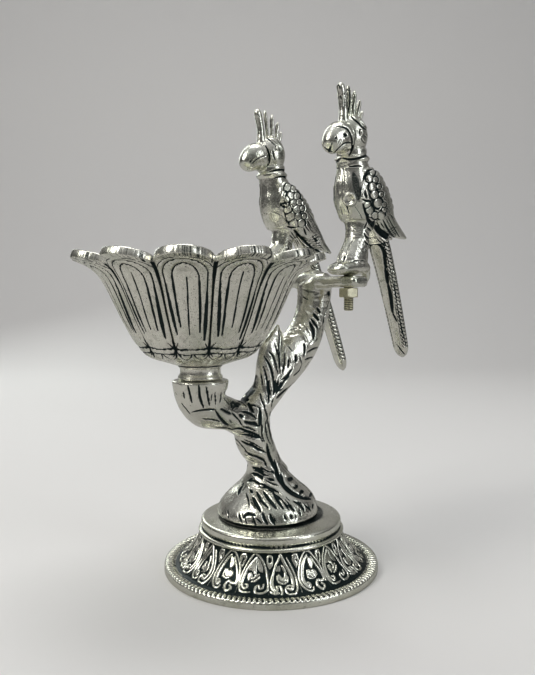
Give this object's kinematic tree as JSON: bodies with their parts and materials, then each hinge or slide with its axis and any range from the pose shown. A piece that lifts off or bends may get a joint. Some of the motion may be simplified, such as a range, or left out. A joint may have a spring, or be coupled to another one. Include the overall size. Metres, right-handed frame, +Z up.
{
  "type": "diya stand",
  "caption": "Cast metal diya stand: a petalled lotus bowl on a branching trunk, with crested birds on a perch bar above a round ornamental base.",
  "frame": {"origin": "middle of the outline in plan, on the surface the stand stands on", "axes": "+Z up, -X towards the bowl, +X towards the perch, the perch bar lies along Y with the front bird at -Y"},
  "size_m": [0.1482, 0.0896, 0.1888],
  "materials": {
    "antique_silver": "cast, antique silver: polished high spots with black patina in the recesses",
    "fastener_steel": "yellowish zinc plating"
  },
  "bodies": {
    "stand": {"base": "antique_silver", "base_washer": "fastener_steel", "base_bolt": "fastener_steel", "trunk": "antique_silver", "bowl_screw": "fastener_steel", "bowl_washer": "fastener_steel"},
    "bowl": {"bowl": "antique_silver"},
    "bird_front": {"bird_front": "antique_silver", "stud_front": "fastener_steel", "nut_front": "fastener_steel"},
    "bird_rear": {"bird_rear": "antique_silver", "stud_rear": "fastener_steel", "nut_rear": "fastener_steel"}
  },
  "joints": [
    {"name": "bowl_turn", "type": "hinge", "parent": "stand", "child": "bowl", "pos_m": [-0.02926, 0, 0.0775], "axis": [0, 0, 1], "continuous": true},
    {"name": "front_swivel", "type": "hinge", "parent": "stand", "child": "bird_front", "pos_m": [0.02834, -0.0194, 0.1152], "axis": [0, 0, 1], "range_deg": [-38, 22]},
    {"name": "rear_swivel", "type": "hinge", "parent": "stand", "child": "bird_rear", "pos_m": [0.02834, 0.0295, 0.1152], "axis": [0, 0, 1], "range_deg": [-27, 33]}
  ]
}
